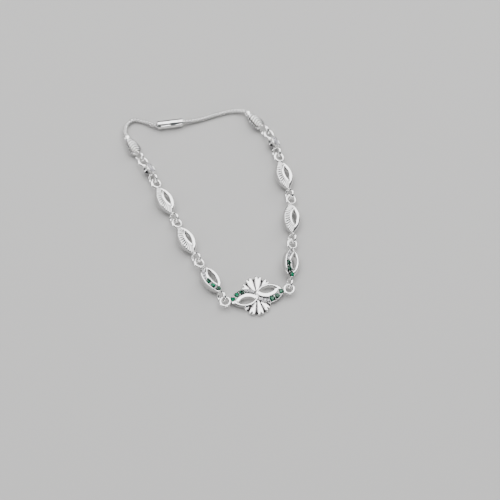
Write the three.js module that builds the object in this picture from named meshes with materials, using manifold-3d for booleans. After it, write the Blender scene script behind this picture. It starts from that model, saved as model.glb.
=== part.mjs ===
// A silver link bracelet with green and clear stones, lying closed on a table.
// Millimetres, +Z up. The origin is under the middle of the centrepiece, on the table, and the
// loop of the bracelet opens away from it along +Y.
import * as THREE from "three";
import { ParametricGeometry } from "three/addons/geometries/ParametricGeometry.js";
import { mergeVertices } from "three/addons/utils/BufferGeometryUtils.js";
import Module from "manifold-3d";

const wasm = await Module();
wasm.setup();

// ---- driving dimensions ------------------------------------------------------------------

const RING = { radius: 1.34, wire: 0.39, sides: 6, steps: 12 }; // radius to the wire's middle
const RING_PITCH = 1.74; // from the centre of a ring to the centre of the ring that it hooks
const RING_HEIGHT = 1.6; // centre of every ring above the table
const SOLDER = 0.3; // how far a ring sinks into the tip that carries it
const RING_REACH = RING.radius + RING.wire - SOLDER; // from a tip to the centre of its ring
const OUTER_TILT = 25; // degrees: the ring at a link's far tip leans to one side

const OVAL_POWER = 1.45; // fullness of the pointed oval: 2 would be two plain arcs
const LINK = { length: 9.4, width: 4.8, depth: 2.2, taper: 0.45 }; // taper: depth lost at a tip
const LINK_HOLE = { length: 4.9, width: 1.7, shiftX: 0.3, shiftY: -0.7 };
const RIBBED_HOLE = { length: 4.2, width: 1.5, shiftX: 0.35, shiftY: -0.6 };
const RIBS = { count: 15, depth: 0.22 }; // grooves between the ribs of a ribbed link

const LEAF = { length: 8.5, width: 5.5, depth: 2.0, taper: 0.3, base: 0.2, middle: 3.45 };
const LEAF_HOLE = { length: 4.6, width: 2.1, shiftX: -0.3, shiftY: 1.05 };
const ROSETTE = { petals: 13, turn: -14, edge: 0.85, crown: 1.25 };
// Reach of the rosette's front and back fans and of its sides; the back fan leans to one side.
const FANS = { front: 5.8, back: 6.2, side: 3.0, lean: 10 };
const PETAL_GROOVE = 0.5; // depth of the groove between two petals at the edge
const PETAL_NOTCH = 0.08; // share of the radius that the edge drops back at a groove

const GREEN_STONE = { radius: 0.7, crown: 0.26, girdle: 0.08, pavilion: 0.5, sides: 8 };
const SMALL_STONE = { radius: 0.4, crown: 0.15, girdle: 0.05, pavilion: 0.3, sides: 8 };
const BEZEL_STONE = { radius: 1.52, crown: 0.4, girdle: 0.1, pavilion: 0.6, sides: 16 };
const SEAT_GAP = 0.07; // room around a stone in its seat
// Where a row of stones sits: rim is the metal left beside the edge, high the share of the depth
// at the girdles, and lean how far the stones lean outwards, in degrees.
const LINK_SEATS = { rim: 0.4, high: 0.96, lean: 0 };
const LEAF_SEATS = { rim: 0.18, high: 0.78, lean: 15 };

const BEZEL = { radius: 1.95, ball: 1.6, foot: 0.8, depth: 2.7, reach: 3.4, wall: 0.35 };
// Below the rim: the stone's girdle, the end of the straight bore and the floor of the seat.
const BEZEL_SEAT = { girdle: 0.32, bore: 0.6, depth: 1.1 };
const BEAD = { length: 5.6, width: 4.0, depth: 3.0, bias: 0.9, fullness: 0.5 };
const BEAD_RIBS = { count: 9, depth: 0.09, sweep: 0.5 }; // depth is a share of the swell
const COLLAR = { radius: 1.08, length: 1.3, socket: 0.88, socketDepth: 0.8 };
const CHAIN = { radius: 0.72, sides: 10, stepLength: 0.62 };
const CLASP = { length: 7.4, radius: 1.3, socket: 0.88, socketDepth: 1.0 };

// Each arm from the centrepiece out: the way its tip and its five links point, degrees
// anticlockwise from +X seen from above, and how far each link leans over to its holed side.
const ARMS = [
  { side: "left", tip: 192, headings: [122, 117.5, 116, 119, 121], rolls: [20, 25, 25, 56, 15] },
  { side: "right", tip: 12, headings: [86, 91, 104, 111, 131], rolls: [35, 25, 25, 56, 15] },
];
const CENTRE_REACH = LEAF.middle + LEAF.length / 2; // from the middle of the bracelet to a tip

// The links of one arm, in order. tilt is how the near ring of each leans against the one that
// it hooks, more so where the arm bends.
const LINKS = [
  { name: "green_link", reach: LINK.length, tilt: -60, make: stoneLink },
  { name: "inner_ribbed_link", reach: LINK.length, tilt: -45, make: ribbedLink },
  { name: "outer_ribbed_link", reach: LINK.length, tilt: -45, make: ribbedLink },
  { name: "bezel", reach: BEZEL.reach, tilt: -45, make: bezelCup },
  { name: "end_bead", reach: BEAD.length, tilt: -60, make: endBead },
];

// Stones along a link or leaf: place is the share of the half length, towards +X.
const LINK_STONES = [
  { name: "green_stone_1", cut: GREEN_STONE, place: -0.79 },
  { name: "green_stone_2", cut: GREEN_STONE, place: -0.49 },
  { name: "green_stone_3", cut: GREEN_STONE, place: -0.13 },
  { name: "small_stone_1", cut: SMALL_STONE, place: 0.15 },
  { name: "small_stone_2", cut: SMALL_STONE, place: 0.36 },
  { name: "small_stone_3", cut: SMALL_STONE, place: 0.57 },
];
const LEAF_STONES = LINK_STONES.map((row) => ({ ...row, place: -row.place }));

// The back chain lies on the table. Its free stretch on each side goes through these points.
const CHAIN_HEIGHT = CHAIN.radius + 0.06;
const CLASP_PLACE = { x: -25.2, y: 54.6, heading: 188 };
const CHAIN_ROUTES = {
  right: [{ x: -6.6, y: 59.1 }, { x: -11.4, y: 58.0 }, { x: -16.4, y: 56.3 }],
  left: [{ x: -38.0, y: 54.0 }, { x: -36.0, y: 56.0 }, { x: -32.6, y: 55.4 }],
};

const SILVER = new THREE.MeshStandardMaterial({ color: 0xdcdde0, metalness: 1, roughness: 0.14 });
const GREEN = new THREE.MeshStandardMaterial({ color: 0x0a5a3e, metalness: 0, roughness: 0.05 });
const CLEAR = new THREE.MeshStandardMaterial({ color: 0xe9edf2, metalness: 0, roughness: 0.05 });

// ---- solids ------------------------------------------------------------------------------

const radians = (degrees) => THREE.MathUtils.degToRad(degrees);

// A closed three.js geometry as a manifold-3d solid, turned outside out if need be.
function solidOf(geometry) {
  const bare = geometry.clone();
  bare.deleteAttribute("normal");
  bare.deleteAttribute("uv");
  const merged = mergeVertices(bare, 1e-4);
  const index = merged.index.array;
  const kept = [];
  for (let i = 0; i < index.length; i += 3) {
    const [a, b, c] = index.subarray(i, i + 3);
    if (a !== b && b !== c && c !== a) kept.push(a, b, c);
  }
  const build = (triVerts) =>
    new wasm.Manifold(
      new wasm.Mesh({
        numProp: 3,
        vertProperties: merged.attributes.position.array,
        triVerts: new Uint32Array(triVerts),
      }),
    );
  const made = build(kept);
  return made.volume() < 0 ? build(kept.reverse()) : made;
}

// A manifold-3d solid as a three.js geometry.
function geometryOf(solid) {
  const mesh = solid.getMesh();
  return new THREE.BufferGeometry()
    .setAttribute("position", new THREE.BufferAttribute(mesh.vertProperties.slice(), 3))
    .setIndex(new THREE.BufferAttribute(mesh.triVerts.slice(), 1));
}

// A surface from a function of two numbers from 0 to 1, closed because both of them wrap round
// or end in a point.
function surface(pointAt, slices, stacks) {
  const place = (u, v, target) => target.copy(pointAt(u % 1, v));
  return new ParametricGeometry(place, slices, stacks);
}

// A turned piece about Z from its half section, listed from the bottom up as [radius, height].
function turned(section, steps) {
  const points = section.map(([radius, height]) => new THREE.Vector2(radius, height));
  return new THREE.LatheGeometry(points, steps).rotateX(Math.PI / 2);
}

// ---- pointed ovals -----------------------------------------------------------------------

// A point on the pointed oval: x is the cosine, y the sine raised to OVAL_POWER.
function ovalPoint(angle, size) {
  const sine = Math.sin(angle);
  const across = Math.sign(sine) * Math.abs(sine) ** OVAL_POWER;
  return { x: (Math.cos(angle) * size.length) / 2, y: (across * size.width) / 2 };
}

// The depth of an oval at a place along it: the back and the top draw together at its tips.
function depthAt(size, x) {
  return size.depth * (1 - size.taper * (x / (size.length / 2)) ** 2);
}

// The section of an open frame, from the foot of the hole over the top to the outer foot: across
// is the share from the hole to the outer edge, high the share of the depth, fall how much lower
// it is at the widest place of the broad side, and rib how much of the groove between ribs shows.
const RIBBED_SECTION = [
  { across: 0, high: 0, fall: 0, rib: 0 },
  { across: 0, high: 0.88, fall: 0, rib: 0 },
  { across: 0.26, high: 0.97, fall: 0, rib: 0.2 },
  { across: 0.68, high: 0.98, fall: 0, rib: 1 },
  { across: 1, high: 0.74, fall: 0, rib: 1 },
  { across: 1, high: 0, fall: 0, rib: 0 },
];
const SMOOTH_SECTION = [
  { across: 0, high: 0, fall: 0, rib: 0 },
  { across: 0, high: 0.9, fall: 0, rib: 0 },
  { across: 0.22, high: 0.96, fall: 0, rib: 0 },
  { across: 0.85, high: 0.96, fall: 0, rib: 0 },
  { across: 1, high: 0.82, fall: 0, rib: 0 },
  { across: 1, high: 0, fall: 0, rib: 0 },
];
const LEAF_SECTION = [
  { across: 0, high: 0, fall: 0, rib: 0 },
  { across: 0, high: 0.9, fall: 0, rib: 0 },
  { across: 0.3, high: 0.96, fall: 0, rib: 0 },
  { across: 0.7, high: 0.94, fall: 0.16, rib: 0 },
  { across: 1, high: 0.84, fall: 0.32, rib: 0 },
  { across: 0.88, high: 0, fall: 0, rib: 0 },
];

// An open frame between a pointed oval and its hole, about its own middle. Every second step
// along the broad side is a groove where the section has ribs.
function openFrame(size, hole, section, steps) {
  const broadSide = -Math.sign(hole.shiftY);
  const last = section.length;
  return surface(
    (u, v) => {
      const step = Math.round(u * steps);
      const angle = (2 * Math.PI * step) / steps;
      const row = section[Math.round(v * last) % last];
      const outer = ovalPoint(angle, size);
      const inner = ovalPoint(angle, hole);
      const broad = Math.max(0, Math.sin(angle) * broadSide);
      const groove = step % 2 === 1 && broad > 0 ? RIBS.depth * row.rib : 0;
      const x = THREE.MathUtils.lerp(inner.x + hole.shiftX, outer.x, row.across);
      const y = THREE.MathUtils.lerp(inner.y + hole.shiftY, outer.y, row.across);
      const high = row.high - row.fall * broad;
      return new THREE.Vector3(x, y, depthAt(size, x) * (high - 0.5) - groove);
    },
    steps,
    last,
  );
}

// ---- stones and their seats --------------------------------------------------------------

// Puts a stone or its cutter in its place on the broad side of an oval, leaning outwards, as far
// from the edge as its seat needs.
function seated(geometry, size, side, seats, stone) {
  const x = (stone.place * size.length) / 2;
  const rise = 1 - stone.place ** 2;
  const edge = (size.width / 2) * rise ** (OVAL_POWER / 2);
  const slope = (edge * OVAL_POWER * x) / (rise * (size.length / 2) ** 2);
  const inset = (stone.cut.radius + seats.rim) * Math.hypot(1, slope);
  const z = depthAt(size, x) * (seats.high - 0.5);
  return geometry.rotateX(-side * radians(seats.lean)).translate(x, side * (edge - inset), z);
}

// A brilliant: culet, girdle, crown and a flat table, one facet of each for every side.
function stoneGeometry(cut) {
  return turned(
    [
      [0, -cut.pavilion],
      [cut.radius, -cut.girdle / 2],
      [cut.radius, cut.girdle / 2],
      [cut.radius * 0.58, cut.crown],
      [0, cut.crown],
    ],
    cut.sides,
  );
}

// The round hole that a stone sits in, with its mouth open above.
function seatCutter(cut) {
  const steps = cut.sides + 2;
  return turned(
    [
      [0, -cut.pavilion - SEAT_GAP],
      [cut.radius + SEAT_GAP, -cut.pavilion - SEAT_GAP],
      [cut.radius + SEAT_GAP, 1],
      [0, 1],
    ],
    steps,
  );
}

// ---- the pieces of one arm, each about its own middle ------------------------------------

function stoneLink() {
  let body = solidOf(openFrame(LINK, LINK_HOLE, SMOOTH_SECTION, 32));
  const seat = (geometry, stone) => seated(geometry, LINK, 1, LINK_SEATS, stone);
  const stones = LINK_STONES.map((stone) => {
    body = body.subtract(solidOf(seat(seatCutter(stone.cut), stone)));
    return { ...stone, geometry: seat(stoneGeometry(stone.cut), stone) };
  });
  return { body, stones };
}

function ribbedLink() {
  const frame = openFrame(LINK, RIBBED_HOLE, RIBBED_SECTION, 4 * RIBS.count);
  return { body: solidOf(frame), stones: [] };
}

// A ball-shaped cup that flares to its rim, and a round stone let into it.
function bezelCup() {
  const bore = BEZEL.radius - BEZEL.wall;
  const cup = turned(
    [
      [0, 0],
      [BEZEL.foot, 0],
      [BEZEL.ball * 0.84, BEZEL.depth * 0.14],
      [BEZEL.ball, BEZEL.depth * 0.36],
      [BEZEL.ball * 1.02, BEZEL.depth * 0.62],
      [BEZEL.radius, BEZEL.depth * 0.9],
      [BEZEL.radius - BEZEL.wall / 2, BEZEL.depth],
      [bore, BEZEL.depth * 0.95],
      [bore, BEZEL.depth - BEZEL_SEAT.bore],
      [bore * 0.4, BEZEL.depth - BEZEL_SEAT.depth],
      [0, BEZEL.depth - BEZEL_SEAT.depth],
    ],
    16,
  );
  const girdleHeight = BEZEL.depth / 2 - BEZEL_SEAT.girdle;
  const stone = stoneGeometry(BEZEL_STONE).translate(0, 0, girdleHeight);
  return {
    body: solidOf(cup.translate(0, 0, -BEZEL.depth / 2)),
    stones: [{ name: "stone", cut: BEZEL_STONE, geometry: stone }],
  };
}

// A domed leaf with ribs swept back from its middle, and a collar at its far end with a socket
// for the chain. A ring of the grid is one rib or one groove, bent back along the edges.
function endBead() {
  const rings = 2 * BEAD_RIBS.count;
  const dome = surface(
    (u, v) => {
      const along = Math.round(v * rings) / rings;
      const round = 2 * Math.PI * u;
      const swell = Math.sin(Math.PI * along ** BEAD.bias) ** BEAD.fullness;
      const rib = 1 - (Math.round(v * rings) % 2) * BEAD_RIBS.depth;
      const y = (BEAD.width / 2) * swell * Math.cos(round) * rib;
      const z = (BEAD.depth / 2) * swell * Math.sin(round) * rib;
      const x = BEAD.length * (along - 0.5) - BEAD_RIBS.sweep * Math.abs(y) * swell;
      return new THREE.Vector3(x, y, z);
    },
    14,
    rings,
  );
  const mouth = BEAD.length / 2 + COLLAR.length / 2;
  const lying = (geometry, x) => geometry.rotateY(Math.PI / 2).translate(x, 0, 0);
  const collar = turned(
    [
      [0, -COLLAR.length],
      [COLLAR.radius, -COLLAR.length],
      [COLLAR.radius, 0],
      [COLLAR.socket, 0],
      [COLLAR.socket, -COLLAR.socketDepth],
      [0, -COLLAR.socketDepth],
    ],
    12,
  );
  const socket = turned(
    [
      [0, -COLLAR.socketDepth],
      [COLLAR.socket, -COLLAR.socketDepth],
      [COLLAR.socket, 1],
      [0, 1],
    ],
    12,
  );
  return {
    body: solidOf(dome)
      .add(solidOf(lying(collar, mouth)))
      .subtract(solidOf(lying(socket, mouth))),
    stones: [],
  };
}

// ---- the centrepiece ---------------------------------------------------------------------

// A point of the fluted rosette. Even steps are the middles of petals, the first one towards +Y,
// and odd steps the grooves between them, where the height drops.
function rosettePoint(step, share, top) {
  const angle = (Math.PI * step) / ROSETTE.petals;
  const groove = step % 2;
  const back = Math.max(0, Math.cos(angle));
  const fan = Math.abs(Math.cos(angle - back * radians(FANS.lean))) ** 0.8;
  const reach = THREE.MathUtils.lerp(FANS.side, back > 0 ? FANS.back : FANS.front, fan);
  const radius = share * reach * (1 - PETAL_NOTCH * groove);
  const turn = angle + radians(ROSETTE.turn);
  const dome = THREE.MathUtils.lerp(ROSETTE.crown, ROSETTE.edge, share ** 2);
  const z = top ? dome - PETAL_GROOVE * groove * Math.sqrt(share) : 0;
  return new THREE.Vector3(-radius * Math.sin(turn), radius * Math.cos(turn), z);
}

// The rosette from the middle of its top, out over the petals, down the edge and back below.
function rosette() {
  const rows = [
    { share: 0, top: true },
    { share: 0.3, top: true },
    { share: 0.7, top: true },
    { share: 1, top: true },
    { share: 1, top: false },
    { share: 0, top: false },
  ];
  const last = rows.length - 1;
  const steps = 2 * ROSETTE.petals;
  return surface(
    (u, v) => {
      const row = rows[Math.round(v * last)];
      return rosettePoint(Math.round(u * steps), row.share, row.top);
    },
    steps,
    last,
  );
}

// Two open leaves across the rosette, point by point the same about the middle.
function centrepiece() {
  const placeLeaf = (geometry, arm) =>
    geometry
      .translate(LEAF.middle, 0, LEAF.base + LEAF.depth / 2)
      .rotateZ(arm.side === "left" ? Math.PI : 0);
  let body = solidOf(rosette());
  for (const arm of ARMS) body = body.subtract(solidOf(placeLeaf(holeCutter(), arm)));
  for (const arm of ARMS)
    body = body.add(solidOf(placeLeaf(openFrame(LEAF, LEAF_HOLE, LEAF_SECTION, 32), arm)));
  const stones = [];
  for (const arm of ARMS)
    for (const stone of LEAF_STONES) {
      const seat = (geometry) =>
        placeLeaf(seated(geometry, LEAF, -1, LEAF_SEATS, stone), arm);
      body = body.subtract(solidOf(seat(seatCutter(stone.cut))));
      stones.push({
        ...stone,
        name: `${arm.side}_leaf_${stone.name}`,
        geometry: seat(stoneGeometry(stone.cut)),
      });
    }
  return { body, stones };
}

// The hole of a leaf, carried down through the rosette.
function holeCutter() {
  const steps = 32;
  const outline = Array.from({ length: steps }, (_, i) => {
    const { x, y } = ovalPoint((2 * Math.PI * i) / steps, LEAF_HOLE);
    return new THREE.Vector2(x + LEAF_HOLE.shiftX, y + LEAF_HOLE.shiftY);
  });
  const depth = 2 * LEAF.depth;
  return new THREE.ExtrudeGeometry(new THREE.Shape(outline), {
    depth,
    bevelEnabled: false,
  }).translate(0, 0, -depth / 2);
}

// ---- placing -----------------------------------------------------------------------------

// A ring soldered on at a tip: its plane holds the X axis and tilts about it from the table.
function ring(x, tilt, roll, lift) {
  const drop = RING_HEIGHT - lift;
  return solidOf(
    new THREE.TorusGeometry(RING.radius, RING.wire, RING.sides, RING.steps)
      .rotateX(radians(tilt - roll))
      .translate(x, drop * Math.sin(radians(roll)), drop * Math.cos(radians(roll))),
  );
}

const bracelet = new THREE.Group();

function addMesh(parent, name, geometry, material) {
  const mesh = new THREE.Mesh(geometry, material);
  mesh.name = name;
  parent.add(mesh);
}

function addStones(parent, prefix, stones) {
  for (const stone of stones)
    addMesh(parent, prefix + stone.name, stone.geometry, stone.cut === GREEN_STONE ? GREEN : CLEAR);
}

// The centrepiece lies flat, with a flat ring on each tip.
function addCentrepiece() {
  const group = new THREE.Group();
  const { body, stones } = centrepiece();
  let whole = body;
  for (const end of [-1, 1])
    whole = whole.add(ring(end * (CENTRE_REACH + RING_REACH), 0, 0, 0));
  addMesh(group, "centrepiece", geometryOf(whole), SILVER);
  addStones(group, "", stones);
  group.rotation.z = radians(ARMS[1].tip);
  bracelet.add(group);
}

// One arm, link by link: each starts from the ring before it and ends with its own. It gives
// back the mouth of the end bead's socket.
function addArm(arm) {
  const along = (heading) =>
    new THREE.Vector3(Math.cos(radians(heading)), Math.sin(radians(heading)), 0);
  const at = along(arm.tip).multiplyScalar(CENTRE_REACH + RING_REACH);
  let mouth;
  LINKS.forEach((link, i) => {
    const heading = arm.headings[i];
    const roll = radians(arm.rolls[i]);
    const last = i === LINKS.length - 1;
    const { body, stones } = link.make();
    const tipped = geometryOf(body).rotateX(roll);
    tipped.computeBoundingBox();
    const lift = -tipped.boundingBox.min.z; // the link's middle above the table
    const group = new THREE.Group();
    const middle = link.reach / 2;
    at.addScaledVector(along(heading), RING_PITCH + RING_REACH + middle);
    group.position.set(at.x, at.y, lift);
    group.rotation.set(roll, 0, radians(heading), "ZYX");
    let whole = body.add(ring(-middle - RING_REACH, link.tilt, arm.rolls[i], lift));
    if (!last) whole = whole.add(ring(middle + RING_REACH, OUTER_TILT, arm.rolls[i], lift));
    addMesh(group, `${arm.side}_${link.name}`, geometryOf(whole), SILVER);
    addStones(group, `${arm.side}_${link.name}_`, stones);
    bracelet.add(group);
    group.updateMatrixWorld(true);
    mouth = group.localToWorld(
      new THREE.Vector3(middle + COLLAR.length / 2, 0, 0),
    );
    at.addScaledVector(along(heading), middle + RING_REACH);
  });
  return { mouth, direction: along(arm.headings.at(-1)) };
}

// A smooth barrel clasp lying in the chain, with a socket at each end.
function addClasp() {
  const half = CLASP.length / 2;
  const barrel = turned(
    [
      [0, socketFloor(-1)],
      [CLASP.socket, socketFloor(-1)],
      [CLASP.socket, -half],
      [CLASP.radius * 0.82, -half],
      [CLASP.radius, -half * 0.82],
      [CLASP.radius, half * 0.82],
      [CLASP.radius * 0.82, half],
      [CLASP.socket, half],
      [CLASP.socket, socketFloor(1)],
      [0, socketFloor(1)],
    ],
    14,
  );
  const geometry = geometryOf(solidOf(barrel.rotateY(Math.PI / 2)));
  const group = new THREE.Group();
  group.position.set(CLASP_PLACE.x, CLASP_PLACE.y, CLASP.radius);
  group.rotation.z = radians(CLASP_PLACE.heading);
  addMesh(group, "clasp", geometry, SILVER);
  bracelet.add(group);
}

function socketFloor(end) {
  return end * (CLASP.length / 2 - CLASP.socketDepth);
}

// The chain of one side, from inside the bead's socket to inside the clasp's.
function addChain(side, start) {
  const claspAlong = new THREE.Vector3(1, 0, 0).applyAxisAngle(
    new THREE.Vector3(0, 0, 1),
    radians(CLASP_PLACE.heading),
  );
  if (side === "right") claspAlong.negate();
  const claspMouth = new THREE.Vector3(CLASP_PLACE.x, CLASP_PLACE.y, CLASP.radius).addScaledVector(
    claspAlong,
    CLASP.length / 2,
  );
  const inSocket = 0.7 * COLLAR.socketDepth;
  const points = [
    start.mouth.clone().addScaledVector(start.direction, -inSocket),
    start.mouth.clone().addScaledVector(start.direction, 0.5),
    ...CHAIN_ROUTES[side].map(({ x, y }) => new THREE.Vector3(x, y, CHAIN_HEIGHT)),
    claspMouth.clone().addScaledVector(claspAlong, 0.5),
    claspMouth.clone().addScaledVector(claspAlong, -inSocket),
  ];
  const path = new THREE.CatmullRomCurve3(points, false, "centripetal");
  const section = new THREE.Shape(
    Array.from({ length: CHAIN.sides }, (_, i) => {
      const angle = (2 * Math.PI * i) / CHAIN.sides;
      return new THREE.Vector2(CHAIN.radius * Math.cos(angle), CHAIN.radius * Math.sin(angle));
    }),
  );
  const tube = new THREE.ExtrudeGeometry(section, {
    steps: Math.round(path.getLength() / CHAIN.stepLength),
    extrudePath: path,
  });
  addMesh(bracelet, `${side}_chain`, geometryOf(solidOf(tube)), SILVER);
}

addCentrepiece();
for (const arm of ARMS) addChain(arm.side, addArm(arm));
addClasp();

export default bracelet;
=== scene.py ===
"""A silver link bracelet with green and clear stones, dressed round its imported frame.

Every piece is a surface worked out with numpy from the sizes below, in the frame's own metres, and
stands for the plainer solid of the same name.
"""

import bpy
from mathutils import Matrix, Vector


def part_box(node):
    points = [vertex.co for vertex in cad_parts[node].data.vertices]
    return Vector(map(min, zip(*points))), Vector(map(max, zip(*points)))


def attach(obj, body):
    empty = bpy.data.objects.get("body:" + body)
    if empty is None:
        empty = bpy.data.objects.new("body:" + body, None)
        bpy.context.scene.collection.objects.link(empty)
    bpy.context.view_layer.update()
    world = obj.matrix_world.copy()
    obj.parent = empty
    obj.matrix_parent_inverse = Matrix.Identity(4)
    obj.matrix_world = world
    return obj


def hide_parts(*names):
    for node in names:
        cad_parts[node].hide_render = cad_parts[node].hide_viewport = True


bl_info = {
    "name": "Leaf and Oval Link Bracelet",
    "version": (1, 0, 0),
    "blender": (4, 5, 0),
    "location": "View3D > Sidebar > Bracelet",
    "description": "Builds the finished pieces, stones, chain and stage of a silver link bracelet",
    "category": "Object",
}

import math

import bpy
import numpy as np
from bpy.props import FloatProperty, FloatVectorProperty, IntProperty, PointerProperty
from mathutils import Vector

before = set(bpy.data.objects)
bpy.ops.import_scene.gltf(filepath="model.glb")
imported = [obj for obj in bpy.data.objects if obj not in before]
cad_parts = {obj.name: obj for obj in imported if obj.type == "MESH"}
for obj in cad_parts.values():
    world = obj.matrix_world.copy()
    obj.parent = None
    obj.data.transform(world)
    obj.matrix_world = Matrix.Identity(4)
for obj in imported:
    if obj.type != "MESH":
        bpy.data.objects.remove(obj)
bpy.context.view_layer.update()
MM = 0.001
TURN = 2 * math.pi

# Each arm from the centrepiece out: the way its tip and its five links point, in degrees
# anticlockwise from +X seen from above, and how far each link leans over to its holed side.
ARMS = {
    "left": {"tip": 192, "headings": (122, 117.5, 116, 119, 121), "rolls": (20, 25, 25, 56, 15)},
    "right": {"tip": 12, "headings": (86, 91, 104, 111, 131), "rolls": (35, 25, 25, 56, 15)},
}
# The links of one arm in order, each with how its near ring leans against the one that it hooks.
NEAR_TILTS = {
    "green_link": -60,
    "inner_ribbed_link": -45,
    "outer_ribbed_link": -45,
    "bezel": -45,
    "end_bead": -60,
}
OUTER_TILT = 25  # degrees: the ring at a link's far tip leans to one side
OVAL_POWER = 1.45  # fullness of the pointed oval: 2 would be two plain arcs

# Stones along a link: the share of the half length from its middle, towards its far tip.
STONE_ROW = {
    "green_stone_1": -0.79,
    "green_stone_2": -0.49,
    "green_stone_3": -0.13,
    "small_stone_1": 0.15,
    "small_stone_2": 0.36,
    "small_stone_3": 0.57,
}

# The free stretches of the back chain as they lie on the table, in millimetres.
CHAIN_ROUTES = {
    "right": ((-6.6, 59.1), (-11.4, 58.0), (-16.4, 56.3)),
    "left": ((-38.0, 54.0), (-36.0, 56.0), (-32.6, 55.4)),
}
CLASP_HEADING = 188
CHAIN_INSET = 0.56 * MM  # how far the chain reaches into a socket
CHAIN_LEAD = 0.5 * MM  # its straight run before a socket
CHAIN_LIFT = 0.05 * MM  # its underside above the table
SOCKET_DEPTH = 0.8 * MM  # of the end bead's collar
CLASP_SOCKET_DEPTH = 1.0 * MM

# Points round each kind of shape.
RING_STEPS, WIRE_SIDES = 40, 16
OVAL_STEPS, HOLE_STEPS = 360, 96
BEZEL_STEPS, BEAD_STEPS, COLLAR_STEPS, CLASP_STEPS = 72, 72, 40, 64
SEAT_STEPS, CLAW_STEPS = 24, 10
PLAIT_STEPS, PLAIT_SIDES = 12, 6
# Points along others: across an oval's top, and both round and along one petal.
TOP_STEPS, PETAL_STEPS = 34, 40

TOP_LEVEL = 0.485  # top of a plain oval above its middle plane, as a share of its depth
CHANNEL_LEVEL = 0.475  # that of an oval with stones
BEZEL_WAIST = 0.42  # where the ball is widest, as a share of the bezel's depth
BEZEL_LIP = 0.94  # where its rim turns over
CLASP_NECK = 0.93  # radius of the groove beside each band, as a share of the barrel's

# The claws of a row, as shares of the radius of the stones that they stand between.
CLAW_SPREAD = 0.7  # from the row's middle line
CLAW_BEYOND = 0.85  # of the end pairs, from the end stones' middles
CLAW_HEIGHT = 0.26
CLAW_RADIUS = 0.1  # on top of the least radius, which is the same for all
CLAW_LEAST = 0.06 * MM

BEAD_RIBS = 7  # on the end bead
BEAD_BIAS = 0.9  # below 1 it is widest before its middle
BEAD_FULLNESS = 0.42  # power of the sine that is its outline: a lower one is fuller
BEAD_GROOVE = 0.12  # share of the half width that a groove takes
BEAD_SWEEP = 0.55  # how far its ribs are bent back along its edges
BEAD_BEND = 0.5 * MM  # how gently they turn on its middle line

# Below the bezel's rim: the stone's girdle, the end of the straight bore and the seat's floor.
BEZEL_GIRDLE, BEZEL_BORE, BEZEL_FLOOR = 0.32 * MM, 0.5 * MM, 1.05 * MM
AXIS = 0.02 * MM  # a turned piece that is closed on its axis ends this near it


# ---- sizes and colours ----------------------------------------------------------------------


def offset(name, description, millimetres, **limits):
    """A place along an axis, which may be negative, given in millimetres and kept in metres."""
    return FloatProperty(
        name=name,
        description=description,
        default=millimetres * MM,
        precision=5,
        unit="LENGTH",
        **limits,
    )


def length(name, description, millimetres):
    """A size, which is an offset that can't be negative."""
    return offset(name, description, millimetres, min=0.0)


def angular(name, description, degrees):
    """An angle given in degrees and kept in radians."""
    return FloatProperty(
        name=name, description=description, default=math.radians(degrees), subtype="ANGLE"
    )


def fraction(name, description, default):
    """A share between 0 and 1."""
    return FloatProperty(
        name=name, description=description, default=default, min=0.0, max=1.0, subtype="FACTOR"
    )


def number(name, description, default, lowest):
    """A whole number of like shapes."""
    return IntProperty(name=name, description=description, default=default, min=lowest)


def colour(name, description, default):
    """A colour of red, green and blue."""
    return FloatVectorProperty(
        name=name, description=description, default=default, min=0.0, max=1.0, subtype="COLOR"
    )


class RingSizes(bpy.types.PropertyGroup):
    """The soldered rings that join the links."""

    radius: length("Radius", "From the centre of a ring to the middle of its wire", 1.34)
    wire: length("Wire", "Radius of the wire", 0.39)
    pitch: length("Pitch", "From a ring's centre to that of the ring it hooks", 1.74)
    height: length("Height", "Centre of every ring above the table", 1.6)
    solder: length("Solder", "How far a ring sinks into the tip that carries it", 0.3)


class LinkSizes(bpy.types.PropertyGroup):
    """The open pointed ovals along the arms."""

    length: length("Length", "Tip to tip without the rings", 9.4)
    width: length("Width", "Across the widest place", 4.8)
    depth: length("Depth", "From back to top in the middle", 2.2)
    taper: fraction("Taper", "Share of the depth that is lost at a tip", 0.45)
    hole_length: length("Hole length", "Tip to tip", 4.9)
    hole_width: length("Hole width", "Across the widest place", 1.7)
    hole_x: offset("Hole X", "Middle of the hole towards the far tip", 0.3)
    hole_y: offset("Hole Y", "Middle of the hole across the link", -0.7)
    fall: fraction("Fall", "Share of the depth that the broad side falls to its edge", 0.0)
    seat_rim: length("Seat rim", "Metal between a seat and the edge of the link", 0.4)
    seat_high: fraction("Seat height", "Share of the depth at which the girdles lie", 0.96)
    seat_lean: angular("Seat lean", "How far the stones lean outwards", 0)
    channel: length("Channel", "Drop of the floor that the row of stones sits in", 0.26)
    ridge: length("Ridge", "Drop of the ridge beside the hole to its two sides", 0.35)


class LeafSizes(bpy.types.PropertyGroup):
    """The two open leaves of the centrepiece."""

    length: length("Length", "Tip to tip", 8.5)
    width: length("Width", "Across the widest place", 5.5)
    depth: length("Depth", "From back to top in the middle", 2.0)
    taper: fraction("Taper", "Share of the depth that is lost at a tip", 0.3)
    hole_length: length("Hole length", "Tip to tip", 4.6)
    hole_width: length("Hole width", "Across the widest place", 2.1)
    hole_x: offset("Hole X", "Middle of the hole towards the outer tip", -0.3)
    hole_y: offset("Hole Y", "Middle of the hole across the leaf", 1.05)
    fall: fraction("Fall", "Share of the depth that the broad side falls to its edge", 0.34)
    seat_rim: length("Seat rim", "Metal between a seat and the edge of the leaf", 0.18)
    seat_high: fraction("Seat height", "Share of the depth at which the girdles lie", 0.78)
    seat_lean: angular("Seat lean", "How far the stones lean outwards", 15)
    channel: length("Channel", "Drop of the floor that the row of stones sits in", 0.14)
    ridge: length("Ridge", "Drop of the ridge beside the hole to its two sides", 0.13)
    base: length("Base", "Back of a leaf above the table", 0.2)
    middle: length("Middle", "From the bracelet's middle to a leaf's", 3.45)


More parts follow.
